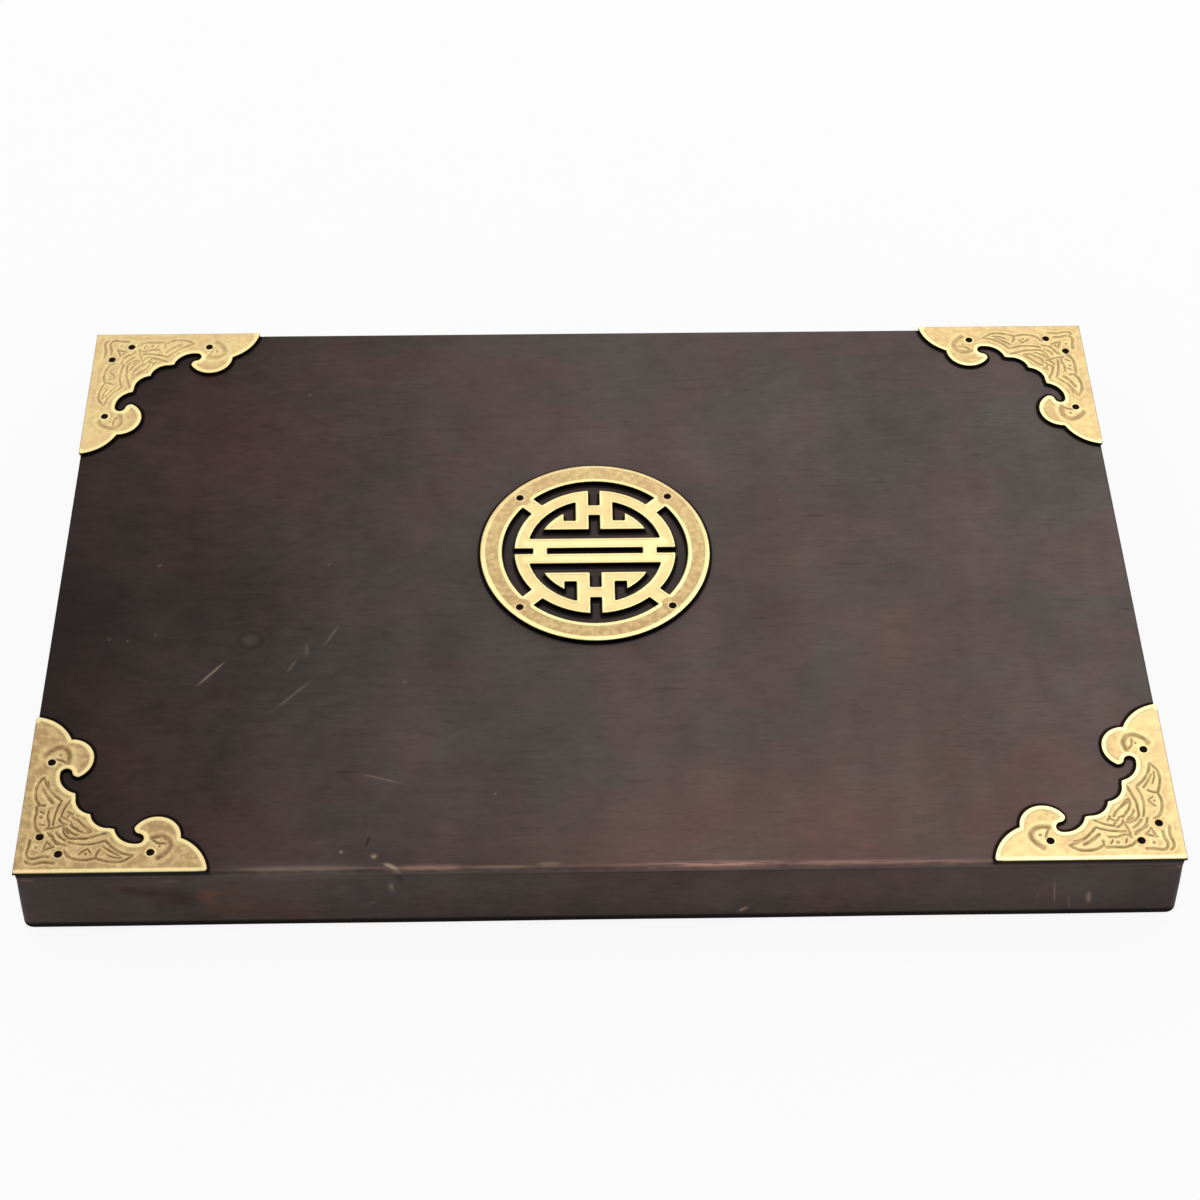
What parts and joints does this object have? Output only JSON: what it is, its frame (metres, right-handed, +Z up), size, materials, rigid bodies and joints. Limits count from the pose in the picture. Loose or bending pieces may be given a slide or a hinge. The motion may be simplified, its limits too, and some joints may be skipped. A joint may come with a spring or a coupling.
{
  "type": "shogi piece box",
  "caption": "Flat dark wooden box for a set of shogi pieces, with a full-depth lift-off lid, brass corner plates, a brass roundel and a felt-lined tray with partitions.",
  "frame": {"origin": "centre of the rectangle the box stands on, at the table surface", "axes": "+X along the long side to the right, +Y to the back, +Z up; the front faces -Y"},
  "size_m": [0.3726, 0.2426, 0.0333],
  "materials": {
    "dark_wood": "dark stained, waxed satin",
    "tray_wood": "stained, bare matt",
    "brass": "stamped, antiqued satin",
    "dark_steel": "blackened",
    "felt": "wool felt"
  },
  "bodies": {
    "tray": {"tray_floor": "tray_wood", "tray_front_wall": "tray_wood", "tray_back_wall": "tray_wood", "tray_left_wall": "tray_wood", "tray_right_wall": "tray_wood", "tray_corner_splines": "tray_wood", "felt_lining": "felt", "centre_divider": "tray_wood", "row_slat_1": "tray_wood", "row_slat_2": "tray_wood", "row_slat_3": "tray_wood", "row_slat_4": "tray_wood"},
    "lid": {"lid_panel": "dark_wood", "lid_front_rail": "dark_wood", "lid_back_rail": "dark_wood", "lid_left_rail": "dark_wood", "lid_right_rail": "dark_wood", "lid_corner_splines": "dark_wood", "corner_plate_front_left": "brass", "corner_plate_front_right": "brass", "corner_plate_back_right": "brass", "corner_plate_back_left": "brass", "corner_pins_front_left": "dark_steel", "corner_pins_front_right": "dark_steel", "corner_pins_back_right": "dark_steel", "corner_pins_back_left": "dark_steel", "roundel": "brass", "roundel_pins": "dark_steel"}
  },
  "joints": [
    {"name": "lid_lift", "type": "slide", "parent": "tray", "child": "lid", "axis": [0, 0, 1], "range_m": [0, 0.06]}
  ]
}
